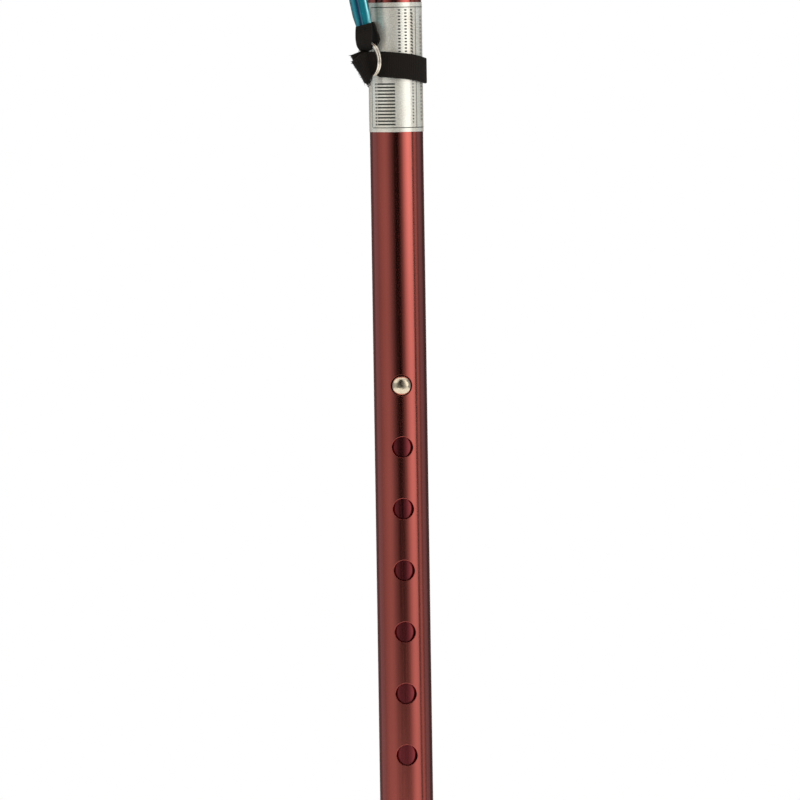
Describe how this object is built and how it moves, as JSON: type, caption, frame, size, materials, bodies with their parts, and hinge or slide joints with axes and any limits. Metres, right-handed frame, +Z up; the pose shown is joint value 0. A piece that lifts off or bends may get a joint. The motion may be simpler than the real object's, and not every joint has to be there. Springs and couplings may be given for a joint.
{
  "type": "height-adjustable walking cane",
  "caption": "Height-adjustable walking cane with a T-shaped handle, snap button, anti-rattle nut, rubber tip and a wrist loop.",
  "frame": {"origin": "centre of the rubber tip's flat underside, at the shortest setting", "axes": "+Z up along the shaft; -Y is the side of the adjusting holes and the button; -X is the handle's long end, where the wrist loop hangs"},
  "size_m": [0.1353, 0.0382, 0.7229],
  "materials": {
    "red_anodised_aluminium": "satin gloss, anodised red-bronze",
    "polished_nickel": "polished",
    "spring_steel": "plain",
    "black_moulded_plastic": "fine moulded grain",
    "white_nylon": "plain",
    "black_rubber": "matt",
    "silver_foil": "pale metallic foil with thin dark rules",
    "black_webbing": "woven",
    "teal_gloss_cord": "glossy padded"
  },
  "bodies": {
    "upper": {"handle_grip": "black_moulded_plastic", "handle_plug": "white_nylon", "handle_screw": "polished_nickel", "trim_ring": "polished_nickel", "upper_tube": "red_anodised_aluminium", "tube_label": "silver_foil", "thread_sleeve": "black_moulded_plastic", "collet": "white_nylon", "slip_washer": "spring_steel", "shaft_strap": "black_webbing", "split_ring": "polished_nickel", "strap_tab": "black_webbing", "wrist_loop": "teal_gloss_cord"},
    "lower": {"lower_tube": "red_anodised_aluminium", "glide_plug": "white_nylon", "button_spring": "spring_steel", "rubber_tip": "black_rubber", "tip_washer": "spring_steel"},
    "button": {"snap_button": "polished_nickel"},
    "nut": {"lock_nut": "black_moulded_plastic"}
  },
  "joints": [
    {"name": "height_slide", "type": "slide", "parent": "upper", "child": "lower", "axis": [0, 0, -1], "range_m": [0, 0.1524]},
    {"name": "button_press", "type": "slide", "parent": "lower", "child": "button", "axis": [0, 1, 0], "range_m": [0, 0.0042], "stiffness_N_per_m": 600, "springref_m": -0.0015, "deforming": ["button_spring"]},
    {"name": "lock_nut_turn", "type": "hinge", "parent": "upper", "child": "nut", "pos_m": [0, 0, 0.144], "axis": [0, 0, 1], "range_deg": [0, 120]}
  ]
}
